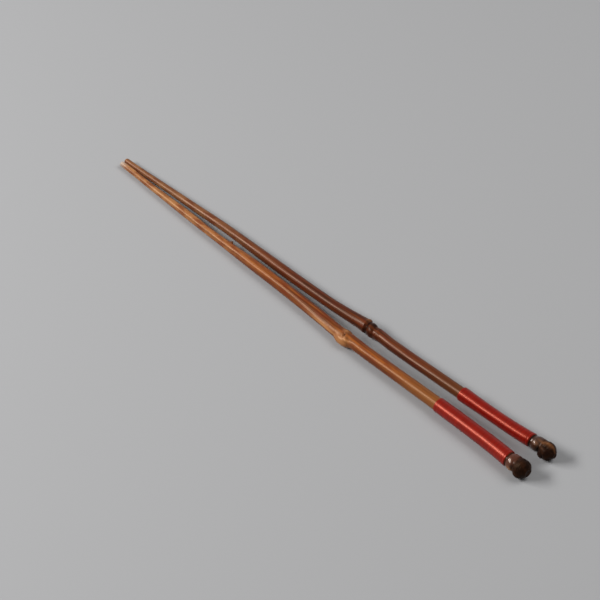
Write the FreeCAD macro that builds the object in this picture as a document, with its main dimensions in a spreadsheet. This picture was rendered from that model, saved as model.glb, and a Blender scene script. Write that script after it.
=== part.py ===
import FreeCAD, Part

import math
import os

import Sketcher
from FreeCAD import Placement, Rotation, Vector

# Pair of bamboo chopsticks, lying side by side with their tips together.
# Each stick is one natural piece of thin bamboo, from its blunt tip to the root knob that ends its handle.
# Red thread is wound round each handle and lacquered to a thin sleeve.
# Lengths are in millimetres. Each stick is drawn along X from its tip, with Y across the pair, and is then laid
# on the table at Z = 0. The origin is on the table, under the middle of the pair.

# The stations of a stick, in order from the tip. The bamboo's node lies between node_start and node_end,
# the thread between thread_start and thread_end, and the root knob begins at knob_start. The sticks are a pair of
# one length, so the run to the shaft is what the other runs and the knob leave of it.
LOWER_STATIONS = ["tip", "point", "taper", "waist", "belly", "shaft", "neck", "node_start"]
UPPER_STATIONS = ["node_end", "stem", "thread_start", "thread_middle", "thread_end", "knob_start"]

# For each station: the run from the station before, the place across the pair, and the diameter of the wood.
# None stands where the value follows from others: node_end also lies in line with node_start.
STATIONS = {
    "front": {
        "tip": (0.85, -1.50, 2.20),
        "point": (23.1, -2.41, 2.50),
        "taper": (26.0, -3.20, 3.42),
        "waist": (11.0, -3.66, 3.24),
        "belly": (31.0, -4.02, 4.62),
        "shaft": (None, -4.92, 4.86),
        "neck": (16.0, -5.66, 4.98),
        "node_start": (6.6, -6.22, 5.06),
        "node_end": (9.6, None, 5.10),
        "stem": (7.0, -6.38, 5.08),
        "thread_start": (40.6, -6.18, 5.36),
        "thread_middle": (20.0, -6.35, 5.52),
        "thread_end": (19.1, -7.20, 5.80),
        "knob_start": (0.6, -7.30, 5.70),
    },
    "back": {
        "tip": (0.80, 1.42, 2.10),
        "point": (21.2, 2.12, 2.35),
        "taper": (26.0, 2.87, 3.30),
        "waist": (20.0, 3.38, 3.75),
        "belly": (32.0, 3.05, 4.42),
        "shaft": (None, 3.50, 4.50),
        "neck": (11.0, 4.25, 4.90),
        "node_start": (8.6, 4.95, 5.45),
        "node_end": (9.6, None, 4.72),
        "stem": (6.0, 4.65, 4.70),
        "thread_start": (38.7, 5.55, 4.78),
        "thread_middle": (18.1, 5.95, 4.84),
        "thread_end": (18.1, 7.20, 5.15),
        "knob_start": (0.6, 7.35, 5.10),
    },
}

# Turned outlines. Each row is a run along the stick and the radius that it ends at. The rounded rows are arcs
# whose centre is on the stick's middle line, and the others are straight.
ROUNDED = ("swelling", "collar", "ball")
OUTLINES = {
    "front_node": {
        "rise": (4.30, 2.64),
        "scar": (0.55, 2.82),
        "step": (0.35, 2.68),
        "swelling": (2.70, 2.58),
    },
    "back_node": {
        "scar": (1.20, 2.94),
        "step": (0.50, 2.44),
        "groove": (1.30, 2.58),
        "swelling": (3.10, 2.46),
        "valley": (1.30, 2.40),
        "ridge": (0.45, 2.66),
    },
    "front_knob": {
        "collar": (3.30, 2.95),
        "ball": (5.50, 2.40),
        "end_edge": (0.50, 1.70),
    },
    "back_knob": {
        "throat": (0.60, 2.60),
        "collar": (3.30, 2.46),
        "groove": (0.50, 2.40),
        "ball": (5.80, 1.90),
        "end_edge": (0.70, 1.00),
    },
}

# Round lumps that grow out of a stick: the station they are measured from, then the distance past that station,
# the offset towards the camera side of the pair, the drop below the stick's middle and the radius.
LUMPS = {
    "front": {
        "bud_lower_lobe": ("node_start", (3.0, 1.40, 0.45, 2.10)),
        "bud_middle": ("node_start", (5.0, 1.50, 0.50, 2.20)),
        "bud_upper_lobe": ("node_start", (6.9, 1.45, 0.40, 2.00)),
        "root_stub": ("knob_start", (6.0, 1.70, 1.10, 2.30)),
    },
    "back": {
        "root_stub": ("knob_start", (6.3, 1.90, 1.20, 1.85)),
    },
}

LOOSE_SIZES = {
    "pair_length": 250.0,
    "front_twig_past_waist": 13.0,
    "front_twig_buried": 0.9,
    "front_twig_base_dia": 1.6,
    "front_twig_end_dia": 0.5,
    "front_twig_height": 0.9,
    "thread_clearance": 0.04,
    "thread_edge_length": 0.30,
    "thread_rim_length": 1.10,
    "front_thread_edge_build": 0.16,
    "front_thread_start_build": 0.42,
    "front_thread_second_turns_build": 0.32,
    "front_thread_middle_build": 0.32,
    "front_thread_end_build": 0.40,
    "back_thread_edge_build": 0.20,
    "back_thread_start_build": 0.68,
    "back_thread_second_turns_build": 0.58,
    "back_thread_middle_build": 0.30,
    "back_thread_end_build": 0.36,
}

doc = FreeCAD.newDocument("bamboo_chopsticks")
sheet = doc.addObject("Spreadsheet::Sheet", "sizes")


class Measure:
    """A length, known as an expression on the sheet and as the number that it comes to."""

    def __init__(self, text, value):
        self.text = text
        self.value = value

    def __add__(self, other):
        return Measure(f"({self.text} + {other.text})", self.value + other.value)

    def __sub__(self, other):
        return Measure(f"({self.text} - {other.text})", self.value - other.value)

    def __mul__(self, other):
        return Measure(f"({self.text} * {other.text})", self.value * other.value)

    def __truediv__(self, other):
        return Measure(f"({self.text} / {other.text})", self.value / other.value)

    def __neg__(self):
        return Measure(f"(-{self.text})", -self.value)

    def root(self):
        """The square root."""
        return Measure(f"sqrt({self.text})", math.sqrt(self.value))


ZERO = Measure("0", 0.0)
TWO = Measure("2", 2.0)


def all_sizes():
    """Every driving dimension by name."""
    rows = dict(LOOSE_SIZES)
    for outline, pieces in OUTLINES.items():
        for piece, values in pieces.items():
            for part, value in zip(("run", "radius"), values):
                rows[f"{outline}_{piece}_{part}"] = value
    for stick in ("front", "back"):
        for station, values in STATIONS[stick].items():
            for part, value in zip(("run", "across", "dia"), values):
                if value is not None:
                    rows[f"{stick}_{station}_{part}"] = value
        for lump, (station, values) in LUMPS[stick].items():
            for part, value in zip(("past", "offset", "drop", "radius"), values):
                rows[f"{stick}_{lump}_{part}"] = value
    return rows


SIZES = all_sizes()


def fill_sheet():
    """Put every driving dimension into the sheet, one row each, under its own name."""
    for row, (name, value) in enumerate(SIZES.items(), start=1):
        sheet.set(f"A{row}", name)
        sheet.set(f"B{row}", str(value))
        sheet.setAlias(f"B{row}", name)
    doc.recompute()


def size(name):
    """One driving dimension."""
    return Measure(f"sizes.{name}", SIZES[name])


def knob_length(stick):
    """The length of a root knob."""
    length = ZERO
    for piece in OUTLINES[f"{stick}_knob"]:
        length = length + size(f"{stick}_knob_{piece}_run")
    return length


def along(stick, station):
    """The distance from the tip to a station, which from the shaft on is measured back from the knob's end."""
    stations = LOWER_STATIONS + UPPER_STATIONS
    index = stations.index(station)
    if index < stations.index("shaft"):
        distance = ZERO
        for name in stations[: index + 1]:
            distance = distance + size(f"{stick}_{name}_run")
        return distance
    distance = size("pair_length") - knob_length(stick)
    for name in stations[index + 1 :]:
        distance = distance - size(f"{stick}_{name}_run")
    return distance


def wood_at(stick, station):
    """Where a station's circle lies along and across, and the diameter of the wood there."""
    in_line_with = "node_start" if station == "node_end" else station
    across = size(f"{stick}_{in_line_with}_across")
    return along(stick, station), across, size(f"{stick}_{station}_dia")


def wood_between(stick, station, following, share):
    """A place on the wood at a share of the run from one station to the following one."""
    pairs = zip(wood_at(stick, station), wood_at(stick, following))
    return tuple(start + (end - start) * share for start, end in pairs)


def origin_part(body, role):
    """One of a body's own origin planes."""
    return next(part for part in body.Origin.OriginFeatures if part.Role == role)


def bind(feature, measures):
    """Tie a feature's properties to the sheet."""
    for name, measure in measures.items():
        feature.setExpression(name, measure.text)


def new_sketch(body, name, role, offset):
    """A sketch on one of the body's planes, moved from it by the measures in offset."""
    sketch = body.newObject("Sketcher::SketchObject", name)
    sketch.AttachmentSupport = [(origin_part(body, role), "")]
    sketch.MapMode = "FlatFace"
    bind(sketch, {f"AttachmentOffset.Base.{axis}": measure for axis, measure in offset.items()})
    return sketch


def fix(sketch, name, measure, *constraint):
    """Add a dimension to a sketch under a name, tied to the sheet."""
    index = sketch.addConstraint(Sketcher.Constraint(*constraint, measure.value))
    sketch.renameConstraint(index, name)
    sketch.setExpression(f"Constraints.{name}", measure.text)


def circle_across(body, name, place, growth):
    """A circle across the stick at a place on the wood, wider than the wood by the growth."""
    x, across, wood = place
    sketch = new_sketch(body, name, "YZ_Plane", {"x": across, "z": x})
    diameter = wood + growth
    circle = Part.Circle(Vector(0, 0, 0), Vector(0, 0, 1), diameter.value / 2)
    sketch.addGeometry(circle, False)
    sketch.addConstraint(Sketcher.Constraint("Coincident", 0, 3, -1, 1))
    fix(sketch, "diameter", diameter, "Diameter", 0)
    return sketch


def stem_circles(body, stick, stations, prefix, growth):
    """Circles across the stick at several stations."""
    circles = []
    for station in stations:
        place = wood_at(stick, station)
        circles.append(circle_across(body, f"{prefix}_{station}", place, growth))
    return circles


def loft(body, kind, name, circles):
    """A solid or cut that runs through the circles in order, tapering evenly from each to the next."""
    feature = body.newObject(f"PartDesign::{kind}", name)
    feature.Profile = circles[0]
    feature.Sections = circles[1:]
    feature.Ruled = True


def arc_centre(start, end):
    """Where the arc through two points of an outline has its centre on the middle line."""
    start_u, start_v = start
    end_u, end_v = end
    squares = end_u * end_u + end_v * end_v - start_u * start_u - start_v * start_v
    return squares / (TWO * (end_u - start_u))


def arc_radius(start, end):
    """The radius of the arc through two points of an outline."""
    back = start[0] - arc_centre(start, end)
    return (back * back + start[1] * start[1]).root()


def turned(body, name, offset, points, rounded):
    """A solid turned about the line v = 0 from an outline of (u, v) points that starts and ends on it.

    rounded says of each edge whether it is an arc with its centre on that line.
    """
    sketch = new_sketch(body, f"{name}_outline", "XY_Plane", offset)
    corners = [Vector(u.value, v.value, 0) for u, v in points]
    for index, is_arc in enumerate(rounded):
        start, end = corners[index], corners[index + 1]
        if is_arc:
            centre = Vector(arc_centre(points[index], points[index + 1]).value, 0, 0)
            radius = (start - centre).Length
            circle = Part.Circle(centre, Vector(0, 0, 1), radius)
            start_angle = math.atan2(start.y, start.x - centre.x)
            end_angle = math.atan2(end.y, end.x - centre.x)
            sketch.addGeometry(Part.ArcOfCircle(circle, end_angle, start_angle), False)
            sketch.addConstraint(Sketcher.Constraint("PointOnObject", index, 3, -1))
        else:
            sketch.addGeometry(Part.LineSegment(start, end), False)
    sketch.addGeometry(Part.LineSegment(corners[-1], corners[0]), False)
    ends = [(2, 1) if is_arc else (1, 2) for is_arc in rounded] + [(1, 2)]
    for index, (u, v) in enumerate(points):
        before = index - 1 if index else len(points) - 1
        first, last = ends[index][0], ends[before][1]
        sketch.addConstraint(Sketcher.Constraint("Coincident", before, last, index, first))
        place_corner(sketch, index, first, u, v)
    solid = body.newObject("PartDesign::Revolution", name)
    solid.Profile = sketch
    solid.ReferenceAxis = (sketch, ["H_Axis"])
    solid.Angle = 360


def place_corner(sketch, index, end, u, v):
    """Give one corner of a turned outline its place along the line and its distance from it."""
    if u is ZERO:
        sketch.addConstraint(Sketcher.Constraint("PointOnObject", index, end, -2))
    else:
        fix(sketch, f"along_{index}", u, "DistanceX", -1, 1, index, end)
    if v is ZERO:
        sketch.addConstraint(Sketcher.Constraint("PointOnObject", index, end, -1))
    else:
        fix(sketch, f"radius_{index}", v, "DistanceY", -1, 1, index, end)


def outline_points(stick, feature, station):
    """The points of a node's or knob's outline, from the radius of the wood at its first station."""
    prefix = f"{stick}_{feature}"
    points = [(ZERO, size(f"{stick}_{station}_dia") / TWO)]
    distance = ZERO
    for piece in OUTLINES[prefix]:
        distance = distance + size(f"{prefix}_{piece}_run")
        points.append((distance, size(f"{prefix}_{piece}_radius")))
    return points


def turned_feature(body, stick, feature, station, end_station=None):
    """A node or knob, turned from its outline about a line through its first station."""
    points = outline_points(stick, feature, station)
    rounded = [False] + [piece in ROUNDED for piece in OUTLINES[f"{stick}_{feature}"]]
    if end_station:
        distance = size(f"{stick}_{end_station}_run")
        points.append((distance, size(f"{stick}_{end_station}_dia") / TWO))
        rounded.append(False)
    points = [(ZERO, ZERO)] + points + [(points[-1][0], ZERO)]
    rounded.append(False)
    offset = {"x": along(stick, station), "y": size(f"{stick}_{station}_across")}
    turned(body, feature, offset, points, rounded)


def round_tip(body, stick):
    """The rounded end of the tip, a cap on the first circle of the taper."""
    depth = size(f"{stick}_tip_run")
    points = [(-depth, ZERO), (ZERO, size(f"{stick}_tip_dia") / TWO), (ZERO, ZERO)]
    offset = {"x": along(stick, "tip"), "y": size(f"{stick}_tip_across")}
    turned(body, "tip_cap", offset, points, [True, False])


def grow_lump(body, stick, lump):
    """A round lump that grows out of the stick, mostly sunk in the wood."""
    station = LUMPS[stick][lump][0]
    prefix = f"{stick}_{lump}"
    sphere = body.newObject("PartDesign::AdditiveSphere", lump)
    bind(
        sphere,
        {
            "Radius": size(f"{prefix}_radius"),
            "Placement.Base.x": along(stick, station) + size(f"{prefix}_past"),
            "Placement.Base.y": size(f"{stick}_{station}_across") - size(f"{prefix}_offset"),
            "Placement.Base.z": -size(f"{prefix}_drop"),
        },
    )


def twig_circles(body):
    """Two circles that bound the short stretch of wood under the twig stub."""
    run = size("front_belly_run")
    circles = []
    half_length = size("front_twig_base_dia")
    for name, shift in (("before", -half_length), ("after", half_length)):
        place = wood_between("front", "waist", "belly", (size("front_twig_past_waist") + shift) / run)
        circles.append(circle_across(body, f"wood_{name}_twig", place, ZERO))
    return circles


def grow_twig(body):
    """The stub of a twig on the inner side of the front stick, a short blunt cone."""
    twig = body.newObject("PartDesign::AdditiveCone", "twig_stub")
    towards_back_stick = Rotation(Vector(1, 0, 0), -90)
    twig.Placement = Placement(Vector(0, 0, 0), towards_back_stick)
    buried = size("front_twig_buried")
    share = size("front_twig_past_waist") / size("front_belly_run")
    x, across, wood = wood_between("front", "waist", "belly", share)
    bind(
        twig,
        {
            "Radius1": size("front_twig_base_dia") / TWO,
            "Radius2": size("front_twig_end_dia") / TWO,
            "Height": buried + size("front_twig_height"),
            "Placement.Base.x": x,
            "Placement.Base.y": across + wood / TWO - buried,
        },
    )


def widest(stick, feature, station, piece):
    """How far a rounded piece of an outline lies from the tip, and its radius there."""
    points = outline_points(stick, feature, station)
    index = list(OUTLINES[f"{stick}_{feature}"]).index(piece)
    start, end = points[index], points[index + 1]
    return along(stick, station) + arc_centre(start, end), arc_radius(start, end)


def lay_down(body, stick):
    """Lay a stick on its node and its root ball, with the pair centred on the origin."""
    node_x, node_radius = widest(stick, "node", "node_start", "swelling")
    ball_x, ball_radius = widest(stick, "knob", "knob_start", "ball")
    rise = (ball_radius - node_radius) / (ball_x - node_x)
    front_side = size("front_knob_start_across") - size("front_root_stub_offset") - size("front_root_stub_radius")
    back_side = size("back_knob_start_across") + widest("back", "knob", "knob_start", "ball")[1]
    base_x = f"-{size('pair_length').text} / 2"
    base_y = f"-({front_side.text} + {back_side.text}) / 2"
    base_z = (node_radius - node_x * rise).text
    turn = f"rotation(vector(0; 1; 0); -asin({rise.text}))"
    body.setExpression("Placement", f"placement(vector({base_x}; {base_y}; {base_z}); {turn})")


def make_stick(stick):
    """One whole stick as a single solid: two internodes, the node between them and the root knob."""
    body = doc.addObject("PartDesign::Body", f"{stick}_stick")
    body.Label = f"{stick}_stick"
    lower = stem_circles(body, stick, LOWER_STATIONS, "wood", ZERO)
    if stick == "front":
        lower[4:4] = twig_circles(body)
    loft(body, "AdditiveLoft", "lower_internode", lower)
    round_tip(body, stick)
    turned_feature(body, stick, "node", "node_start", "node_end")
    upper = stem_circles(body, stick, UPPER_STATIONS, "wood", ZERO)
    loft(body, "AdditiveLoft", "upper_internode", upper)
    turned_feature(body, stick, "knob", "knob_start")
    for lump in LUMPS[stick]:
        grow_lump(body, stick, lump)
    if stick == "front":
        grow_twig(body)
    lay_down(body, stick)
    return body


def make_binding(stick):
    """The wound thread as a thin sleeve, thicker where it starts and ends, clear of the wood all round."""
    body = doc.addObject("PartDesign::Body", f"{stick}_binding")
    body.Label = f"{stick}_binding"
    clearance = size("thread_clearance")
    edge = size("thread_edge_length")
    rim = size("thread_rim_length")
    first_half = size(f"{stick}_thread_middle_run")
    second_half = size(f"{stick}_thread_end_run")
    halves = {
        "first": ("thread_start", "thread_middle"),
        "second": ("thread_middle", "thread_end"),
    }
    one = Measure("1", 1.0)
    rings = [
        ("start_edge", "first", ZERO, "edge"),
        ("start_rim", "first", edge / first_half, "start"),
        ("start_wound", "first", rim / first_half, "second_turns"),
        ("middle", "second", ZERO, "middle"),
        ("end_wound", "second", one - rim / second_half, "middle"),
        ("end_rim", "second", one - edge / second_half, "end"),
        ("end_edge", "second", one, "edge"),
    ]
    outside = []
    for name, half, share, build in rings:
        place = wood_between(stick, *halves[half], share)
        growth = TWO * (clearance + size(f"{stick}_thread_{build}_build"))
        outside.append(circle_across(body, f"outside_{name}", place, growth))
    loft(body, "AdditiveLoft", "windings", outside)
    inside = stem_circles(body, stick, UPPER_STATIONS, "inside", TWO * clearance)
    loft(body, "SubtractiveLoft", "hollow", inside)
    lay_down(body, stick)
    return body


def check_and_write(bodies):
    """Stop on any failed feature, and write each sub-part to its own file."""
    doc.recompute()
    for item in doc.Objects:
        if "Invalid" in item.State or "Error" in item.State:
            raise RuntimeError(f"{item.Name} failed: {item.State}")
    for body in bodies:
        shape = body.Shape
        if shape.isNull() or not shape.isValid() or len(shape.Solids) != 1:
            raise RuntimeError(f"{body.Label} is not one valid solid")
        shape.exportStep(f"parts/{body.Label}.step")
        print(body.Label, round(shape.Volume, 2))


os.makedirs("parts", exist_ok=True)
fill_sheet()
sub_parts = [make_stick("front"), make_binding("front"), make_stick("back"), make_binding("back")]
check_and_write(sub_parts)
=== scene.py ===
import logging
import math
from dataclasses import dataclass
from enum import Enum

import bpy
import numpy as np
from mathutils import Matrix, Vector


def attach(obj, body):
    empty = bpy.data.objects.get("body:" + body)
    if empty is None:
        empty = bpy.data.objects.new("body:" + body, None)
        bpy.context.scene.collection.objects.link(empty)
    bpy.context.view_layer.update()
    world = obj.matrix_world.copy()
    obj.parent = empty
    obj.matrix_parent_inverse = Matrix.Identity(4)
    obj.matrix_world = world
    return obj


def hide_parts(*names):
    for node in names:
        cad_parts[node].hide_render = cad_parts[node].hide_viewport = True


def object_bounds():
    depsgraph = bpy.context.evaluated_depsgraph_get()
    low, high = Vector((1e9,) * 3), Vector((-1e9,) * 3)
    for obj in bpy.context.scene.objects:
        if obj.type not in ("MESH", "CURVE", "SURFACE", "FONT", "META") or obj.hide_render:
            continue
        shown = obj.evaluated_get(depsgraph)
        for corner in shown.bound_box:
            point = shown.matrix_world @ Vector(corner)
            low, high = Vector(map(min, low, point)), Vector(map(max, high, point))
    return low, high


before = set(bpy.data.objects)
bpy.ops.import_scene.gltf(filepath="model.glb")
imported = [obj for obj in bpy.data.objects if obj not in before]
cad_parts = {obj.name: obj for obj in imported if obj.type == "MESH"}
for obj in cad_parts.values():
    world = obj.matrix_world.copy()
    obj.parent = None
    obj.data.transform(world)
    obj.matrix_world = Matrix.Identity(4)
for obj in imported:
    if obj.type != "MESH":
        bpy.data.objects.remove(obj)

# A pair of bamboo chopsticks, each grown as one piece with a node and a root knob, with red thread wound round
# the handle. Shapes are worked out in millimetres in the pair's own frame: x runs from the tips to the knobs,
# y across the pair from the front stick to the back stick. They are laid on the floor and turned to metres last.
# A direction round a stick is an angle that starts at its back side and goes over the top.

MM = 0.001
TURN = 2.0 * math.pi
LOG = logging.getLogger("chopsticks")
CAD_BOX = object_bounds()

Array = np.ndarray
Color = tuple[float, float, float, float]
Triple = tuple[float, float, float]
Object = bpy.types.Object
Tree = bpy.types.NodeTree
Socket = bpy.types.NodeSocket

PAIR_LENGTH = 250.0
SIDEWAYS_SHIFT = 0.163
UNDERSIDE = math.radians(270.0)

# The mesh: points round a stick, the row on which outlines are worked out, and how far their corners are rounded.
SEGMENTS = 112
FINE_STEP = 0.02
CORNER_ROUNDING = 0.14
BLUR_REACH = 3.0

# The sawn end of a knob: its rings, how far it is sunk, how deep the saw marks are and how close together.
END_RINGS = 9
SAWN_SINK = 0.14
SAW_DEPTH = 0.05
SAW_SCALE = 10.0

# Which of a stick's upper stations the thread starts and ends at.
THREAD_START, THREAD_END = 2, 4
THREAD_SEED = 40

# Where a Mix node has its share, its two colours and their mixture, and its two plain values.
MIX_SHARE, MIX_FIRST, MIX_SECOND, MIX_RESULT = 0, 6, 7, 2
MIX_FIRST_VALUE, MIX_SECOND_VALUE = 2, 3


class Spread(Enum):
    """How a band of waves changes along a stick: slowly, as in a stem, or fast, as in gnarled root wood."""

    STEM = 0.05
    GNARL = 1.6


@dataclass(frozen=True)
class Band:
    """A band of waves: how it changes along a stick, the crest counts that may be drawn and how many are added."""

    spread: Spread
    crests: range
    count: int
    slant_gain: float = 0.15


SWAY = Band(Spread.STEM, range(1, 4), 6)
FLUTES = Band(Spread.STEM, range(14, 34), 16)
DENTS = Band(Spread.GNARL, range(2, 5), 9)
GRIT = Band(Spread.GNARL, range(6, 18), 22)
SAW_MARKS = Band(Spread.GNARL, range(3, 12), 10)
TURN_DRIFT = Band(Spread.STEM, range(1, 3), 4)
TURN_HEIGHT = Band(Spread.STEM, range(1, 3), 6)


@dataclass(frozen=True)
class Growth:
    """How unevenly both sticks grow and how far their marks reach, in millimetres, radians and shares.

    The node's middle lies behind its start. The stem sways and has flutes. The knob's bare wood starts a little
    behind the thread, and its ball has dents and grit and an edge that wanders. Grime and painted shade darken the
    ball's dents, the seam before the knob and the pits, and the twig and the wood round it are darker.
    """

    node_middle: float = 5.0
    node_reach: float = 3.2
    sway: float = 0.030
    flute: float = 0.009
    knob_delay: float = 0.2
    knob_edge: float = 0.12
    ball_wander: float = 0.35
    ball_wander_start: float = 0.6
    ball_edge: float = 0.42
    dent: float = 0.09
    grit: float = 0.018
    collar_grit: float = 0.02
    resting_width: float = 0.45
    # Grime and painted shade in the ball's dents, the seam and the pits, and darker wood round the twig.
    dent_dirt_and_shade_level: float = 0.3
    dent_dirt_and_shade: float = 0.4
    seam_lead: float = 0.25
    seam_reach: float = 0.30
    pit_dirt_and_shade: float = 4.0
    twig_taper: float = 1.6
    twig_dirt_and_shade: float = 1.3
    ochre_fade: float = 9.0
    young_length: float = 100.0
    young_fade: float = 1.3
    bare_length: float = 2.2
    bare_side: float = math.radians(120.0)
    bare_width: float = 1.3


@dataclass(frozen=True)
class Spacing:
    """How far apart the rings of a stick lie, and how far its closer stretches reach past what they show."""

    stem: float = 0.45
    twig: float = 0.10
    node: float = 0.11
    under_thread: float = 1.5
    knob: float = 0.07
    round_twig: float = 3.0
    before_node: float = 2.5
    behind_node: float = 2.0
    thread_lap: float = 0.5
    tip_rings: int = 11
    first_tip_share: float = 0.12


GROWTH = Growth()
SPACING = Spacing()


@dataclass(frozen=True)
class Station:
    """A place on a stem: the run from the station before, the place across the pair and the wood's diameter."""

    run: float
    across: float
    wood: float


@dataclass(frozen=True)
class Turn:
    """A stretch of a turned outline: its run, the radius it ends at, and whether it swells as an arc."""

    run: float
    radius: float
    arc: bool = False


@dataclass(frozen=True)
class Lump:
    """A lump, round across the stick: where its middle is, its radius, half its length and how softly it joins."""

    x: float
    offset: float
    drop: float
    radius: float
    half_length: float
    softness: float = 0.28


@dataclass(frozen=True)
class Spot:
    """A soft round mark on the skin: its place, its direction in degrees, how far it reaches and its strength."""

    x: float
    degrees: float
    length: float
    width: float
    strength: float

    def turn(self, angle: Array) -> Array:
        """The turn from the spot's direction to each given one."""
        return around(angle, math.radians(self.degrees))

    def shape(self, x: Array, angle: Array) -> Array:
        """How the spot fades: a bell along the stick times a bell round it."""
        return bell(x - self.x, self.length) * bell(self.turn(angle), self.width)


@dataclass(frozen=True)
class Layer:
    """How high the thread lies over the wood at a distance from one end of the winding."""

    distance: float
    height: float


def smooth_curve(x: Array, knots: Array, values: Array) -> Array:
    """A smooth curve through values that bulges past none of them.

    Between two knots it is the cubic with given slopes at both. The slope at a knot is the weighted harmonic
    mean of the chords beside it, or level where the values turn back there.

    Args:
        x: Where the curve is wanted.
        knots: Rising places of the values.
        values: The values at the knots.

    Returns:
        The curve at every x.
    """
    runs = np.diff(knots)
    chords = np.diff(values) / runs
    slopes = np.zeros_like(values)
    before, after = 2.0 * runs[1:] + runs[:-1], runs[1:] + 2.0 * runs[:-1]
    rising = chords[1:] * chords[:-1] > 0.0
    safe_left = np.where(rising, chords[:-1], 1.0)
    safe_right = np.where(rising, chords[1:], 1.0)
    slopes[1:-1] = np.where(rising, (before + after) / (before / safe_left + after / safe_right), 0.0)
    slopes[0], slopes[-1] = chords[0], chords[-1]
    index = np.clip(np.searchsorted(knots, x) - 1, 0, len(runs) - 1)
    part = np.clip((x - knots[index]) / runs[index], 0.0, 1.0)
    square, cube = part**2, part**3
    start = (2.0 * cube - 3.0 * square + 1.0) * values[index]
    end = (3.0 * square - 2.0 * cube) * values[index + 1]
    leave = (cube - 2.0 * square + part) * runs[index] * slopes[index]
    arrive = (cube - square) * runs[index] * slopes[index + 1]
    return start + end + leave + arrive


def arc_centre(start: tuple[float, float], end: tuple[float, float]) -> tuple[float, float]:
    """The place of the centre on the middle line, and the radius, of the arc through two outline points."""
    # The centre is as far from both points, so it lies at the difference of their squared distances from zero,
    # over twice the run between them.
    centre = (end[0] ** 2 + end[1] ** 2 - start[0] ** 2 - start[1] ** 2) / (2.0 * (end[0] - start[0]))
    return centre, math.hypot(start[0] - centre, start[1])


def outline_radius(x: Array, start: float, radius: float, turns: list[Turn]) -> Array:
    """The radius of a turned outline: straight tapers, and arcs centred on the middle line.

    Args:
        x: Places along the stick.
        start: Where the outline starts.
        radius: The radius it starts at.
        turns: Its stretches, in order.

    Returns:
        The radius at every x, and zero outside the outline.
    """
    result = np.zeros_like(x)
    point = (start, radius)
    for turn in turns:
        following = (point[0] + turn.run, turn.radius)
        inside = (x >= point[0] - FINE_STEP / 2.0) & (x <= following[0] + FINE_STEP / 2.0)
        if turn.arc:
            centre, reach = arc_centre(point, following)
            values = np.sqrt(np.maximum(reach**2 - (x - centre) ** 2, 0.0))
        else:
            values = np.interp(x, [point[0], following[0]], [point[1], following[1]])
        result = np.where(inside, values, result)
        point = following
    return result


def blurred(values: Array, spread: float) -> Array:
    """A bell-shaped average, which rounds corners.

    Args:
        values: Values on the fine row.
        spread: The bell's spread in millimetres.

    Returns:
        The averaged values.
    """
    reach = int(BLUR_REACH * spread / FINE_STEP)
    weights = bell(np.arange(-reach, reach + 1) * FINE_STEP, spread)
    return np.convolve(np.pad(values, reach, mode="edge"), weights / weights.sum(), mode="valid")


def bell(distance: Array, spread: float) -> Array:
    """One at no distance, falling to nothing as a bell curve."""
    return np.exp(-0.5 * (distance / spread) ** 2)


def step(x: Array, place: float, width: float) -> Array:
    """Zero before a place and one after it, with a soft step of the given width between."""
    return 0.5 * (1.0 + np.tanh((x - place) / width))


def around(angle: Array, centre: float) -> Array:
    """The turn from a centre, as an angle between minus and plus half a turn."""
    return (angle - centre + math.pi) % TURN - math.pi


def soft_union(first: Array, second: Array, softness: float) -> Array:
    """The larger of two radii, with the crease between them filled: half the sum plus half a rounded gap."""
    return 0.5 * (first + second + np.sqrt((first - second) ** 2 + softness**2))


def lump_reach(x: Array, angle: Array, lump: Lump) -> Array:
    """How far a lump reaches from the stick's middle in each direction.

    At a place x the lump is a disc, and the far crossing of a ray with that disc is the reach: the disc's
    centre along the ray, plus the half chord. The disc's squared radius is the lump's, less its share of the
    squared distance from the middle over the half length.

    Args:
        x: Places along the stick.
        angle: Directions round it.
        lump: The lump.

    Returns:
        The reach, or zero where the ray misses.
    """
    disc = lump.radius**2 * (1.0 - ((x - lump.x) / lump.half_length) ** 2)
    across, up = -lump.offset, -lump.drop
    ahead = across * np.cos(angle) + up * np.sin(angle)
    chord = disc + ahead**2 - across**2 - up**2
    return np.where((disc > 0.0) & (chord > 0.0), ahead + np.sqrt(np.maximum(chord, 0.0)), 0.0)


def waves(x: Array, angle: Array, band: Band, seed: int) -> Array:
    """Gentle unevenness that closes on itself round the stick.

    It is a sum of sine waves, each with a whole number of crests round the stick, a random slant along it and
    a random start, divided so that it stays within about minus one and one.

    Args:
        x: Places along the stick.
        angle: Directions round it.
        band: What kind of waves they are.
        seed: Which draw it is.

    Returns:
        The sum at every point.
    """
    draw = np.random.default_rng(seed)
    total = np.zeros(np.broadcast(x, angle).shape)
    for _ in range(band.count):
        crests = int(draw.integers(band.crests.start, band.crests.stop))
        slant = draw.normal() * band.spread.value * (1.0 + band.slant_gain * crests)
        total += np.sin(crests * angle + slant * x + draw.uniform(0.0, TURN))
    return total / math.sqrt(2.0 * band.count)


def closed_rings(points: Array) -> Array:
    """The four-cornered faces between rings of points, each ring closed on itself.

    Args:
        points: An array of rings by points by three.

    Returns:
        Corner numbers, four to a face, turning so that the face looks outwards.
    """
    rings, count = points.shape[:2]
    ring, place = np.meshgrid(np.arange(rings - 1), np.arange(count), indexing="ij")
    here, beside = ring * count + place, ring * count + (place + 1) % count
    return np.stack([here, beside, beside + count, here + count], axis=-1).reshape(-1, 4)


def pole_fan(ring: Array, pole: int, outward: bool) -> Array:
    """Three-cornered faces that close a ring to one pole.

    Args:
        ring: The ring's point numbers.
        pole: The pole's point number.
        outward: Whether the faces turn the way in which the ring does.

    Returns:
        Corner numbers, three to a face.
    """
    following = np.roll(ring, -1)
    pair = (ring, following) if outward else (following, ring)
    return np.stack([np.full_like(ring, pole), *pair], axis=-1)


def laid(points: Array) -> Array:
    """Points of the pair's own frame, moved to the shared frame and turned to metres."""
    return (points + [-PAIR_LENGTH / 2.0, SIDEWAYS_SHIFT, 0.0]) * MM


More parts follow.
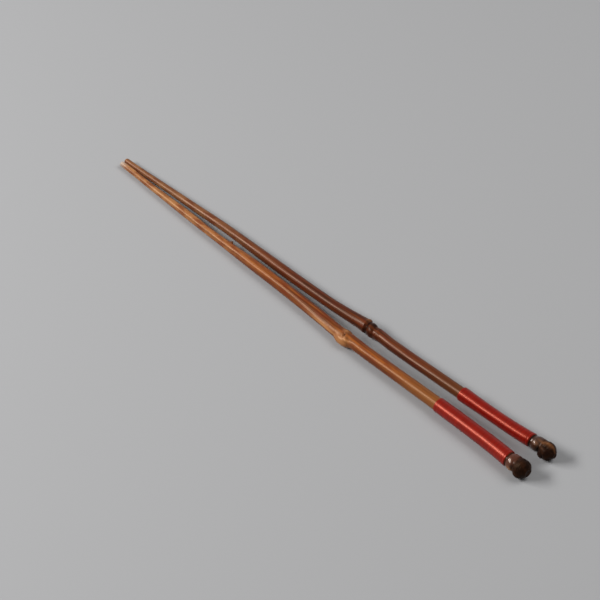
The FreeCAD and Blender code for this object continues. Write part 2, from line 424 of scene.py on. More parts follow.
def write_piece(
    name: str, points: Array, faces: list[Array], marks: dict[str, Array], node: str
) -> Object:
    """Make one smooth mesh that stands for a node of the frame, kept inside the solids' box.

    Args:
        name: The piece's name.
        points: Its points in metres.
        faces: Arrays of corner numbers, of four or three corners.
        marks: Values at the points by name, one or three numbers each.
        node: The node that the piece stands for.

    Returns:
        The new object.
    """
    points = np.clip(points, np.array(CAD_BOX[0]), np.array(CAD_BOX[1]))
    mesh = bpy.data.meshes.new(name)
    corners = np.concatenate([part.ravel() for part in faces])
    totals = np.concatenate([np.full(len(part), part.shape[1]) for part in faces])
    mesh.vertices.add(len(points))
    mesh.vertices.foreach_set("co", points.astype(np.float32).ravel())
    mesh.loops.add(len(corners))
    mesh.loops.foreach_set("vertex_index", corners.astype(np.int32))
    mesh.polygons.add(len(totals))
    mesh.polygons.foreach_set("loop_start", (np.cumsum(totals) - totals).astype(np.int32))
    mesh.polygons.foreach_set("loop_total", totals.astype(np.int32))
    mesh.polygons.foreach_set("use_smooth", np.ones(len(totals), dtype=bool))
    mesh.update(calc_edges=True)
    mesh.validate()
    for mark, values in marks.items():
        if values.ndim == 2:
            mesh.attributes.new(mark, "FLOAT_VECTOR", "POINT").data.foreach_set("vector", values.ravel())
        else:
            mesh.attributes.new(mark, "FLOAT", "POINT").data.foreach_set("value", values.ravel())
    piece = bpy.data.objects.new(name, mesh)
    bpy.context.scene.collection.objects.link(piece)
    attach(piece, "root")
    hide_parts(node)
    LOG.info("%s: %d points, %d faces", name, len(points), len(totals))
    return piece


@dataclass
class Stick:
    """One whole stick of natural bamboo, from its blunt tip to its root knob.

    Its surface is a radius round a gently curving middle line, as a function of the place along the stick and
    the direction round it.
    """

    side: str
    slot: str
    tip_length: float
    lower: list[Station]
    upper: list[Station]
    node: list[Turn]
    knob: list[Turn]
    lumps: list[Lump]
    twig: Spot | None
    swells: list[Spot]
    pits: list[Spot]
    # Pale spots lay partly paler wood and partly painted highlights and a painted lit top.
    pale_and_highlight_spots: list[Spot]
    # Dark spots lay painted shade in grooves and pits, and darker wood.
    dirt_and_shade_spots: list[Spot]
    node_slant: float
    node_slant_angle: float
    collar_length: float
    ochre_start: float
    bare_tip: float
    seed: int

    def __post_init__(self) -> None:
        """Work out where the stations, the thread, the node and the knob lie, and how the stick rests.

        It rests on the widest arcs of its node and its knob, so the middle line's rise is the difference of
        their radii over the run between their centres.
        """
        self.knob_start = PAIR_LENGTH - sum(turn.run for turn in self.knob)
        upper_start = self.knob_start - sum(station.run for station in self.upper)
        self.lower_x = self.tip_length + np.cumsum([station.run for station in self.lower])
        self.upper_x = upper_start + np.cumsum([station.run for station in self.upper])
        self.line_knots = np.concatenate([[0.0], self.lower_x, self.upper_x, [PAIR_LENGTH]])
        self.node_start = float(self.lower_x[-1])
        self.thread_start = float(self.upper_x[THREAD_START])
        self.thread_end = float(self.upper_x[THREAD_END])
        node_centre, node_radius = self.swelling(self.node, self.node_start, self.lower[-1].wood / 2.0)
        ball_centre, ball_radius = self.swelling(self.knob, self.knob_start, self.upper[-1].wood / 2.0)
        self.rise = (ball_radius - node_radius) / (ball_centre - node_centre)
        self.tip_height = node_radius - node_centre * self.rise

    @staticmethod
    def swelling(turns: list[Turn], start: float, radius: float) -> tuple[float, float]:
        """The widest arc of an outline.

        Args:
            turns: The outline's stretches.
            start: Where it starts.
            radius: The radius it starts at.

        Returns:
            The arc's centre and radius.
        """
        point, found = (start, radius), (0.0, 0.0)
        for turn in turns:
            following = (point[0] + turn.run, turn.radius)
            if turn.arc:
                found = max(found, arc_centre(point, following), key=lambda arc: arc[1])
            point = following
        return found

    def across(self, x: Array) -> Array:
        """The middle line's place across the pair: a smooth curve through the stations."""
        rows = [self.lower[0], *self.lower, *self.upper, self.upper[-1]]
        return smooth_curve(x, self.line_knots, np.array([row.across for row in rows]))

    def height(self, x: Array) -> Array:
        """The middle line's height: a straight rise from the tip to the knob."""
        return self.tip_height + self.rise * x

    def surface(self, x: Array, angle: Array, radius: Array) -> Array:
        """Points round the middle line: off it across by the radius times the cosine, and up by the sine."""
        y, z = self.across(x) + radius * np.cos(angle), self.height(x) + radius * np.sin(angle)
        return np.stack([x, y, z], axis=-1)

    def straightened(self, points: Array) -> Array:
        """Points in metres as if the stick were straight, for a pattern that follows its grain."""
        x = points[:, 0]
        return (points - np.stack([0.0 * x, self.across(x), self.height(x)], axis=-1)) * MM

    def wood_radius(self, x: Array) -> Array:
        """The radius of the stem without its node and knob.

        Args:
            x: Places along the stick.

        Returns:
            The radius at every x, smooth through the stations on each side of the node.
        """
        below = smooth_curve(x, self.lower_x, np.array([row.wood / 2.0 for row in self.lower]))
        above = smooth_curve(x, self.upper_x, np.array([row.wood / 2.0 for row in self.upper]))
        return np.where(x < self.node_start, below, above)

    def turned_radius(self, x: Array) -> Array:
        """The radius of the stick before anything uneven: the stem, the turned node and the turned knob.

        The tip is the cap of a ball. The ball's radius is the sum of the squares of the tip's radius and the
        cap's length, over twice that length.

        Args:
            x: Places along the stick.

        Returns:
            The radius at every x.
        """
        fine = np.arange(0.0, PAIR_LENGTH + FINE_STEP, FINE_STEP)
        node = outline_radius(fine, self.node_start, self.lower[-1].wood / 2.0, self.node)
        knob = outline_radius(fine, self.knob_start, self.upper[-1].wood / 2.0, self.knob)
        radius = np.where(node > 0.0, node, self.wood_radius(fine))
        radius = blurred(np.where(fine >= self.knob_start, knob, radius), CORNER_ROUNDING)
        tip = self.lower[0].wood / 2.0
        ball = (tip**2 + self.tip_length**2) / (2.0 * self.tip_length)
        cap = np.sqrt(np.maximum(ball**2 - (np.clip(fine, 0.0, self.tip_length) - ball) ** 2, 0.0))
        return np.interp(x, fine, np.where(fine < self.tip_length, cap, radius))

    def rings(self) -> Array:
        """Where the rings lie along the stick.

        Returns:
            Their places, close together at the tip, the twig, the node and the knob.
        """
        tip = self.tip_length * np.linspace(SPACING.first_tip_share, 1.0, SPACING.tip_rings) ** 2
        stretches = [
            (self.node_start - SPACING.before_node, SPACING.stem),
            (self.upper_x[0] + SPACING.behind_node, SPACING.node),
            (self.thread_start, SPACING.stem),
            (self.thread_end - SPACING.thread_lap, SPACING.under_thread),
            (PAIR_LENGTH, SPACING.knob),
        ]
        if self.twig:
            before, behind = self.twig.x - SPACING.round_twig, self.twig.x + SPACING.round_twig
            stretches = [(before, SPACING.stem), (behind, SPACING.twig), *stretches]
        places = [tip]
        last = self.tip_length
        for end, spacing in stretches:
            count = max(2, int((end - last) / spacing))
            places.append(np.linspace(last, end, count + 1)[1:])
            last = end
        return np.concatenate(places)

    @staticmethod
    def stained(x: Array, angle: Array, spots: list[Spot]) -> Array:
        """How strongly soft spots colour the skin.

        Args:
            x: Places along the stick.
            angle: Directions round it.
            spots: The spots, with their widths as angles.

        Returns:
            The strongest spot's share at every point.
        """
        mark = 0.0 * (x + angle)
        for spot in spots:
            mark = np.maximum(mark, spot.strength * spot.shape(x, angle))
        return mark

    def skin(self, x: Array, angle: Array) -> tuple[Array, dict[str, Array]]:
        """The radius of the stick in every direction, and the marks that its finish reads.

        The turned radius is read a little ahead or behind, so that the node's ridges slant. Lumps join it by a
        soft union, the twig stands out as a cone, swells rise and pits sink as bells. Waves make it uneven: slow
        ones and flutes along the stem, and dents and grit on the knob. On the knob they only sink, and they fade
        where it rests on the floor, so the stick keeps its size.

        Args:
            x: Places along the stick, as a column.
            angle: Directions round it, as a row.

        Returns:
            The radius and the marks by name.
        """
        near_node = bell(x - self.node_start - GROWTH.node_middle, GROWTH.node_reach)
        slant = self.node_slant * near_node * np.cos(angle - self.node_slant_angle)
        radius = self.turned_radius(x + slant)
        middle = self.turned_radius(x + 0.0 * angle)
        for lump in self.lumps:
            radius = soft_union(radius, lump_reach(x, angle, lump), lump.softness)
        knob = step(x, self.thread_end + GROWTH.knob_delay, GROWTH.knob_edge)
        wander = GROWTH.ball_wander * np.sin(2.0 * angle + GROWTH.ball_wander_start)
        ball = step(x + wander, self.knob_start + self.collar_length, GROWTH.ball_edge)
        stem = (1.0 - knob) * (1.0 - near_node)
        radius += stem * GROWTH.sway * waves(x, angle, SWAY, self.seed)
        radius += stem * GROWTH.flute * waves(x, angle, FLUTES, self.seed + 1)
        dents, grit = waves(x, angle, DENTS, self.seed + 2), waves(x, angle, GRIT, self.seed + 3)
        free = 1.0 - bell(around(angle, UNDERSIDE), GROWTH.resting_width)
        radius -= ball * free * (GROWTH.dent * (1.0 - dents) + GROWTH.grit * np.abs(grit))
        radius -= knob * (1.0 - ball) * free * GROWTH.collar_grit * (1.0 + grit)
        # Grime and painted shade: darker in the ball's dents and in the seam before the knob.
        dirt_and_shade = np.clip((GROWTH.dent_dirt_and_shade_level - dents) * GROWTH.dent_dirt_and_shade, 0.0, GROWTH.dent_dirt_and_shade) * ball
        dirt_and_shade = np.maximum(dirt_and_shade, bell(x - self.knob_start + GROWTH.seam_lead, GROWTH.seam_reach))
        for swell in self.swells:
            radius += swell.strength * swell.shape(x, angle)
        # Each pit is darkened with grime and painted shade.
        for pit in self.pits:
            mark = bell(x - pit.x, pit.length) * bell(pit.turn(angle) * middle, pit.width)
            radius -= pit.strength * mark
            dirt_and_shade = np.maximum(dirt_and_shade, mark * min(1.0, GROWTH.pit_dirt_and_shade * pit.strength))
        if self.twig:
            apart = np.hypot(x - self.twig.x, self.twig.turn(angle) * middle)
            cone = np.clip(1.0 - (apart / self.twig.width) ** GROWTH.twig_taper, 0.0, 1.0)
            radius += self.twig.strength * cone
            # The twig and the wood round it are darker.
            dirt_and_shade = np.maximum(dirt_and_shade, np.clip(GROWTH.twig_dirt_and_shade - apart / self.twig.length, 0.0, 1.0))
        bare_side = bell(around(angle, GROWTH.bare_side), GROWTH.bare_width)
        marks = {
            # Grime and painted shade.
            "dirt_and_shade": np.maximum(dirt_and_shade, self.stained(x, angle, self.dirt_and_shade_spots)),
            # Paler wood and painted highlights.
            "pale_and_highlight": self.stained(x, angle, self.pale_and_highlight_spots),
            "ochre": step(x, self.ochre_start, GROWTH.ochre_fade) * (1.0 - knob),
            "bark": ball,
            "root": knob,
            "young": 1.0 - np.clip(x / GROWTH.young_length, 0.0, 1.0) ** GROWTH.young_fade,
            "bare": self.bare_tip * bell(x, GROWTH.bare_length) * bare_side,
        }
        return radius, {mark: np.broadcast_to(values, radius.shape) for mark, values in marks.items()}

    def build(self) -> Object:
        """Make the stick's mesh: its skin, a pole at the tip, and a slightly sunk sawn end with a pole.

        Returns:
            The stick, without its finish.
        """
        x = self.rings()[:, None]
        angle = np.linspace(0.0, TURN, SEGMENTS, endpoint=False)[None, :]
        radius, marks = self.skin(x, angle)
        shares = np.linspace(1.0, 0.0, END_RINGS + 1)[1:-1, None]
        saw = waves(SAW_SCALE * shares, angle, SAW_MARKS, self.seed + 4)
        end_x = PAIR_LENGTH - (SAWN_SINK + SAW_DEPTH * (1.0 + saw)) * (1.0 - shares)
        x = np.vstack([x + 0.0 * angle, end_x])
        skin_points = self.surface(x, angle, np.vstack([radius, radius[-1:] * shares]))
        pole_x = np.array([0.0, float(end_x[-1].mean())])
        points = np.vstack([skin_points.reshape(-1, 3), self.surface(pole_x, 0.0 * pole_x, 0.0 * pole_x)])
        first, last = np.arange(SEGMENTS), np.arange(x.size - SEGMENTS, x.size)
        fans = np.vstack([pole_fan(first, x.size, False), pole_fan(last, x.size + 1, True)])
        values = {"grain": self.straightened(points)}
        for mark, rows in marks.items():
            end = np.repeat(rows[-1:], END_RINGS - 1, axis=0)
            whole = np.concatenate([rows, end]).ravel()
            values[mark] = np.concatenate([whole, [rows[0].mean(), rows[-1].mean()]])
        faces = [closed_rings(skin_points), fans]
        return write_piece(f"{self.side}_bamboo", laid(points), faces, values, f"{self.side}_stick")


@dataclass
class Winding:
    """Red thread wound tightly round a handle and lacquered: one closed sleeve with a ridge for every turn.

    The outer radius is the wood's plus the height of the winding, less a groove between turns. The groove
    follows a helix: the place in a turn is the place along the stick over the pitch, less the share of a turn
    round it. The turns drift a little, and differ a little in height.
    """

    stick: Stick
    first_turns: list[Layer]
    last_turns: list[Layer]
    pitch: float = 0.36
    clearance: float = 0.04
    groove: float = 0.022
    groove_fade: float = 0.25
    drift: float = 0.10
    unevenness: float = 0.012
    unevenness_scale: float = 6.0
    rings_per_turn: int = 7
    inner_rings: int = 40
    segments: int = 96

    def height(self, x: Array) -> Array:
        """The height of the winding over the wood, smooth through its layers.

        Args:
            x: Places along the stick.

        Returns:
            The height at every x.
        """
        knots = [self.stick.thread_start + layer.distance for layer in self.first_turns]
        knots += [self.stick.thread_end - layer.distance for layer in self.last_turns]
        heights = [layer.height for layer in (*self.first_turns, *self.last_turns)]
        return smooth_curve(x, np.array(knots), np.array(heights))

    def build(self) -> Object:
        """Make the sleeve: the wound outside, then back through the inside, closed into a ring of rings.

        Returns:
            The sleeve, without its finish.
        """
        stick, seed = self.stick, self.stick.seed + THREAD_SEED
        start, end = stick.thread_start, stick.thread_end
        outer_x = np.linspace(start, end, int((end - start) / self.pitch * self.rings_per_turn))[:, None]
        inner_x = np.linspace(end, start, self.inner_rings)[:, None]
        angle = np.linspace(0.0, TURN, self.segments, endpoint=False)[None, :]
        drift = self.drift * waves(outer_x, angle, TURN_DRIFT, seed)
        phase = ((outer_x + drift) / self.pitch - angle / TURN) % 1.0
        ridge = np.sqrt(np.maximum(1.0 - (2.0 * phase - 1.0) ** 2, 0.0))
        uneven = self.unevenness * waves(outer_x * self.unevenness_scale, angle, TURN_HEIGHT, seed + 1)
        edge = np.minimum(outer_x - start, end - outer_x)
        groove = self.groove * np.clip(edge / self.groove_fade, 0.0, 1.0) * (1.0 - ridge)
        outer = stick.turned_radius(outer_x) + self.clearance + self.height(outer_x) - groove + uneven
        inner = stick.turned_radius(inner_x) + self.clearance / 2.0 + 0.0 * angle
        x = np.vstack([outer_x, inner_x]) + 0.0 * angle
        points = stick.surface(x, angle, np.vstack([outer, inner]))
        faces = closed_rings(np.concatenate([points, points[:1]])) % x.size
        flat = points.reshape(-1, 3)
        values = {"grain": stick.straightened(flat), "ridge": np.vstack([ridge, 0.0 * inner]).ravel()}
        return write_piece(
            f"{stick.side}_wound_thread", laid(flat), [faces], values, f"{stick.side}_binding"
        )


def paint(red: int, green: int, blue: int) -> Color:
    """A screen colour as the linear colour that a shader takes.

    Args:
        red: Red from 0 to 255.
        green: Green from 0 to 255.
        blue: Blue from 0 to 255.

    Returns:
        The linear colour, fully opaque.
    """
    shares = [value / 255.0 for value in (red, green, blue)]
    linear = [share / 12.92 if share <= 0.04045 else ((share + 0.055) / 1.055) ** 2.4 for share in shares]
    return (*linear, 1.0)


@dataclass(frozen=True)
class Cloud:
    """A cloudy noise: its scale along and across a piece, its detail, its roughness and the band that shows."""

    scale: Triple
    detail: float
    rough: float = 0.55
    low: float = 0.0
    high: float = 1.0


STREAKS = Cloud((14.0, 900.0, 900.0), 3.0, low=0.40, high=0.60)
FIBRES = Cloud((30.0, 2400.0, 2400.0), 4.0, 0.7, 0.40, 0.64)
STAINS = Cloud((150.0, 560.0, 560.0), 4.0, 0.62, 0.42, 0.62)
DASHES = Cloud((420.0, 4200.0, 4200.0), 2.0, low=0.66, high=0.76)
BARK = Cloud((420.0, 520.0, 520.0), 4.0, low=0.38, high=0.66)
WORN_PATCHES = Cloud((90.0, 300.0, 300.0), 3.0)
SCRATCHES = Cloud((1500.0, 700.0, 700.0), 2.0)
DARK_TURNS = Cloud((2600.0, 40.0, 40.0), 2.0, low=0.42, high=0.64)
WORN_TURNS = Cloud((120.0, 260.0, 260.0), 3.0, low=0.5, high=0.8)
TWIST = Cloud((5200.0, 1500.0, 1500.0), 2.0)


class Wiring:
    """A node tree that is filled with short calls."""

    def __init__(self, tree: Tree) -> None:
        """Take a tree and empty it."""
        self.tree = tree
        self.tree.nodes.clear()

    def add(self, kind: str, inputs: dict[str | int, object] | None = None, **settings: object) -> bpy.types.Node:
        """Add a node.

        Args:
            kind: The node's type, without the leading ShaderNode.
            inputs: Values or other nodes' outputs by input name or number.
            settings: The node's own properties.

        Returns:
            The new node.
        """
        full = kind if kind.startswith("Node") else f"ShaderNode{kind}"
        node = self.tree.nodes.new(full)
        for name, value in settings.items():
            setattr(node, name, value)
        for name, value in (inputs or {}).items():
            if isinstance(value, Socket):
                self.tree.links.new(value, node.inputs[name])
            else:
                node.inputs[name].default_value = value
        return node

    def math(self, operation: str, first: object, second: object, clamp: bool = False) -> Socket:
        """A sum, product or other operation on two values."""
        return self.add("Math", {0: first, 1: second}, operation=operation, use_clamp=clamp).outputs[0]

    def remap(self, value: object, low: float, high: float) -> Socket:
        """A value stretched so that low becomes zero and high becomes one, with soft ends."""
        inputs = {"Value": value, "From Min": low, "From Max": high}
        return self.add("MapRange", inputs, interpolation_type="SMOOTHSTEP").outputs["Result"]

    def blend(self, share: object, first: object, second: object, mode: str = "MIX") -> Socket:
        """Two colours mixed by a share."""
        inputs = {MIX_SHARE: share, MIX_FIRST: first, MIX_SECOND: second}
        return self.add("Mix", inputs, data_type="RGBA", blend_type=mode).outputs[MIX_RESULT]

    def mark(self, name: str, output: str = "Fac") -> Socket:
        """A mark kept on the mesh's points."""
        return self.add("Attribute", attribute_name=name, attribute_type="GEOMETRY").outputs[output]

    def noise(self, place: object, cloud: Cloud) -> Socket:
        """Cloudy noise, stretched along and across the piece.

        Args:
            place: The place that the noise reads.
            cloud: What kind of noise it is.

        Returns:
            The noise, about one half in the middle.
        """
        stretched = self.add("Mapping", {"Vector": place, "Scale": cloud.scale}).outputs[0]
        inputs = {"Vector": stretched, "Scale": 1.0, "Detail": cloud.detail, "Roughness": cloud.rough}
        return self.add("TexNoise", inputs).outputs["Fac"]

    def patches(self, place: object, cloud: Cloud) -> Socket:
        """Cloudy noise stretched to the band that shows, as a mask."""
        return self.remap(self.noise(place, cloud), cloud.low, cloud.high)


def new_group(name: str, inputs: dict[str, str], outputs: dict[str, str]) -> tuple[Wiring, object, object]:
    """Start a shader node group.

    Args:
        name: The group's name.
        inputs: Socket types by name.
        outputs: Socket types by name.

    Returns:
        Its wiring, its input node's outputs and its output node's inputs.
    """
    tree = bpy.data.node_groups.new(name, "ShaderNodeTree")
    for socket, kind in inputs.items():
        tree.interface.new_socket(socket, in_out="INPUT", socket_type=kind)
    for socket, kind in outputs.items():
        tree.interface.new_socket(socket, in_out="OUTPUT", socket_type=kind)
    wiring = Wiring(tree)
    return wiring, wiring.add("NodeGroupInput").outputs, wiring.add("NodeGroupOutput").inputs


def bamboo_grain_group(fibre_relief: float = 0.6) -> Tree:
    """The grain of bamboo: long streaks, hair-fine fibres, cloudy stains and short dark dashes.

    Args:
        fibre_relief: How much the fibres raise the surface beside the streaks.

    Returns:
        The node group.
    """
    values = {name: "NodeSocketFloat" for name in ("Streaks", "Fibres", "Stains", "Dashes", "Relief")}
    wiring, given, leave = new_group("bamboo_grain", {"Place": "NodeSocketVector"}, values)
    streaks, fibres = wiring.noise(given["Place"], STREAKS), wiring.noise(given["Place"], FIBRES)
    relief = wiring.add("Math", {0: fibres, 1: fibre_relief, 2: streaks}, operation="MULTIPLY_ADD")
    for name, value in (
        ("Streaks", wiring.remap(streaks, STREAKS.low, STREAKS.high)),
        ("Fibres", wiring.remap(fibres, FIBRES.low, FIBRES.high)),
        ("Stains", wiring.patches(given["Place"], STAINS)),
        ("Dashes", wiring.patches(given["Place"], DASHES)),
        ("Relief", relief.outputs[0]),
    ):
        wiring.tree.links.new(value, leave[name])
    return wiring.tree


def handled_gloss_group() -> Tree:
    """How use dulls a varnish: cloudy worn patches and fine scratches, as a roughness around a middle value.

    Returns:
        The node group.
    """
    inputs = {"Place": "NodeSocketVector", "Middle": "NodeSocketFloat", "Change": "NodeSocketFloat"}
    wiring, given, leave = new_group("handled_gloss", inputs, {"Roughness": "NodeSocketFloat"})
    cloud, scratch = wiring.noise(given["Place"], WORN_PATCHES), wiring.noise(given["Place"], SCRATCHES)
    centred = wiring.math("SUBTRACT", wiring.math("ADD", cloud, scratch), 1.0)
    change = wiring.math("MULTIPLY", centred, given["Change"])
    wiring.tree.links.new(wiring.math("ADD", given["Middle"], change, clamp=True), leave["Roughness"])
    return wiring.tree


@dataclass(frozen=True)
class BambooFinish:
    """Varnished natural bamboo with a rough root knob.

    The colours lie over each other in the order of their fields. Some lay paler wood and painted highlights, and
    some grime and painted shade. The varnish dulls with that grime and shade and on bark, and it is thickest on
    the knob's bare wood.
    """

    name: str
    light: Color
    dark: Color
    young: Color
    stain: Color
    stain_share: float
    ochre: Color
    bare: Color
    root: Color
    bark_dark: Color
    bark_light: Color
    # Paler wood and painted highlights.
    pale_and_highlight: Color
    # Grime and painted shade.
    dirt_and_shade: Color
    shine: Color
    ochre_share: float = 0.72
    fibre_share: float = 0.26
    dirt_and_shade_share: float = 0.85
    roughness: float = 0.33
    roughness_change: float = 0.12
    bark_roughness: float = 0.42
    relief: float = 0.55
    relief_height: float = 0.00006
    coat_share: float = 0.6
    coat_roughness: float = 0.18
    dull_bark: float = 0.85
    dullness: float = 0.85
    specular: float = 0.34
    ior: float = 1.48

    def color(self, wiring: Wiring, lines: object, marks: dict[str, object], bark: object) -> object:
        """Lay the colours over each other.

        Args:
            wiring: The material's wiring.
            lines: The grain group's outputs.
            marks: The stick's marks by name.
            bark: The bark's noise.

        Returns:
            The colour's output.
        """
        streaked = wiring.blend(lines["Streaks"], self.light, self.dark)
        color = wiring.blend(marks["young"], streaked, self.young)
        color = wiring.blend(wiring.math("MULTIPLY", lines["Stains"], self.stain_share), color, self.stain)
        free = wiring.math("SUBTRACT", self.ochre_share, lines["Dashes"], clamp=True)
        color = wiring.blend(wiring.math("MULTIPLY", marks["ochre"], free), color, self.ochre)
        color = wiring.blend(marks["bare"], color, self.bare)
        fibres = wiring.math("MULTIPLY", lines["Fibres"], self.fibre_share)
        color = wiring.blend(fibres, color, self.dark, "MULTIPLY")
        color = wiring.blend(marks["root"], color, self.root)
        bark_color = wiring.blend(wiring.remap(bark, BARK.low, BARK.high), self.bark_dark, self.bark_light)
        color = wiring.blend(marks["bark"], color, bark_color)
        # Paler wood and painted highlights: lines of light along the front stick's ridge and bud, on the collars
        # and along the lit top of the back knob.
        color = wiring.blend(marks["pale_and_highlight"], color, self.pale_and_highlight)
        # Grime and painted shade in dents, pits, grooves and the seam before the knob.
        return wiring.blend(wiring.math("MULTIPLY", marks["dirt_and_shade"], self.dirt_and_shade_share), color, self.dirt_and_shade)

    def material(self, grain: Tree, gloss: Tree) -> bpy.types.Material:
        """Build the material.

        Args:
            grain: The group with the bamboo's grain.
            gloss: The group with the worn varnish.

        Returns:
            The material.
        """
        material = bpy.data.materials.new(self.name)
        material.use_nodes = True
        wiring = Wiring(material.node_tree)
        place = wiring.mark("grain", "Vector")
        marks = {name: wiring.mark(name) for name in ("dirt_and_shade", "pale_and_highlight", "ochre", "bark", "root", "young", "bare")}
        lines = wiring.add("Group", {"Place": place}, node_tree=grain).outputs
        varnish = {"Place": place, "Middle": self.roughness, "Change": self.roughness_change}
        worn = wiring.add("Group", varnish, node_tree=gloss).outputs["Roughness"]
        bark = wiring.noise(place, BARK)
        between = {MIX_SHARE: marks["bark"], MIX_FIRST_VALUE: worn, MIX_SECOND_VALUE: self.bark_roughness}
        rough = wiring.add("Mix", between, data_type="FLOAT")
        height = wiring.math("ADD", lines["Relief"], wiring.math("MULTIPLY", bark, marks["bark"]))
        bump = wiring.add("Bump", {"Height": height, "Strength": self.relief, "Distance": self.relief_height})
        bare_root = wiring.math("SUBTRACT", self.coat_share, marks["bark"], clamp=True)
        coat = wiring.math("MULTIPLY", marks["root"], bare_root)
        dull = wiring.math("MAXIMUM", marks["dirt_and_shade"], wiring.math("MULTIPLY", marks["bark"], self.dull_bark))
        clean = wiring.math("SUBTRACT", 1.0, wiring.math("MULTIPLY", dull, self.dullness), clamp=True)
        surface = wiring.add(
            "BsdfPrincipled",
            {
                "Base Color": self.color(wiring, lines, marks, bark),
                "Roughness": rough.outputs[0],
                "Normal": bump.outputs[0],
                "Coat Weight": wiring.math("MULTIPLY", coat, clean),
                "Coat Roughness": self.coat_roughness,
                "Specular IOR Level": wiring.math("MULTIPLY", clean, self.specular),
                "Specular Tint": self.shine,
                "IOR": self.ior,
            },
        )
        wiring.add("OutputMaterial", {"Surface": surface.outputs[0]})
        return material


@dataclass(frozen=True)
class ThreadFinish:
    """Lacquered red thread, with turns that differ a little and the fibres' twist as fine relief.

    Its groove colour is painted shade in the grooves between the turns, and also darkens some turns.
    """

    name: str
    crest: Color
    # Painted shade in the grooves between turns, also used for darker turns.
    groove: Color
    worn: Color
    shine: Color
    ridge_band: tuple[float, float] = (0.1, 0.8)
    dark_share: float = 0.6
    worn_share: float = 0.35
    roughness: float = 0.31
    roughness_change: float = 0.06
    relief: float = 0.5
    relief_height: float = 0.00004
    coat: float = 0.05
    coat_roughness: float = 0.16
    specular: float = 0.85
    ior: float = 1.5

    def material(self, gloss: Tree) -> bpy.types.Material:
        """Build the material.

        Args:
            gloss: The group with the worn lacquer.

        Returns:
            The material.
        """
        material = bpy.data.materials.new(self.name)
        material.use_nodes = True
        wiring = Wiring(material.node_tree)
        place = wiring.mark("grain", "Vector")
        # Darker towards the grooves between turns: painted shade.
        color = wiring.blend(wiring.remap(wiring.mark("ridge"), *self.ridge_band), self.groove, self.crest)
        dark = wiring.math("MULTIPLY", wiring.patches(place, DARK_TURNS), self.dark_share)
        color = wiring.blend(dark, color, self.groove)
        rubbed = wiring.math("MULTIPLY", wiring.patches(place, WORN_TURNS), self.worn_share)
        color = wiring.blend(rubbed, color, self.worn)
        twist = {"Height": wiring.noise(place, TWIST), "Strength": self.relief, "Distance": self.relief_height}
        lacquer = {"Place": place, "Middle": self.roughness, "Change": self.roughness_change}
        surface = wiring.add(
            "BsdfPrincipled",
            {
                "Base Color": color,
                "Roughness": wiring.add("Group", lacquer, node_tree=gloss).outputs["Roughness"],
                "Normal": wiring.add("Bump", twist).outputs[0],
                "Coat Weight": self.coat,
                "Coat Roughness": self.coat_roughness,
                "Specular IOR Level": self.specular,
                "Specular Tint": self.shine,
                "IOR": self.ior,
            },
        )
        wiring.add("OutputMaterial", {"Surface": surface.outputs[0]})
        return material


@dataclass(frozen=True)
class Lamp:
    """A soft rectangular lamp: its place and size in metres, its power in watts and whether gloss shows it."""

    name: str
    place: Triple
    size: tuple[float, float]
    power: float
    mirrored: bool = True

    def build(self) -> None:
        """Hang the lamp so that it faces the pair."""
        light = bpy.data.lights.new(self.name, "AREA")
        light.shape = "RECTANGLE"
        light.size, light.size_y = self.size
        light.energy = self.power
        lamp = bpy.data.objects.new(self.name, light)
        lamp.rotation_euler = (-Vector(self.place)).to_track_quat("-Z", "Y").to_euler()
        lamp.location = self.place
        lamp.visible_glossy = self.mirrored
        bpy.context.scene.collection.objects.link(lamp)


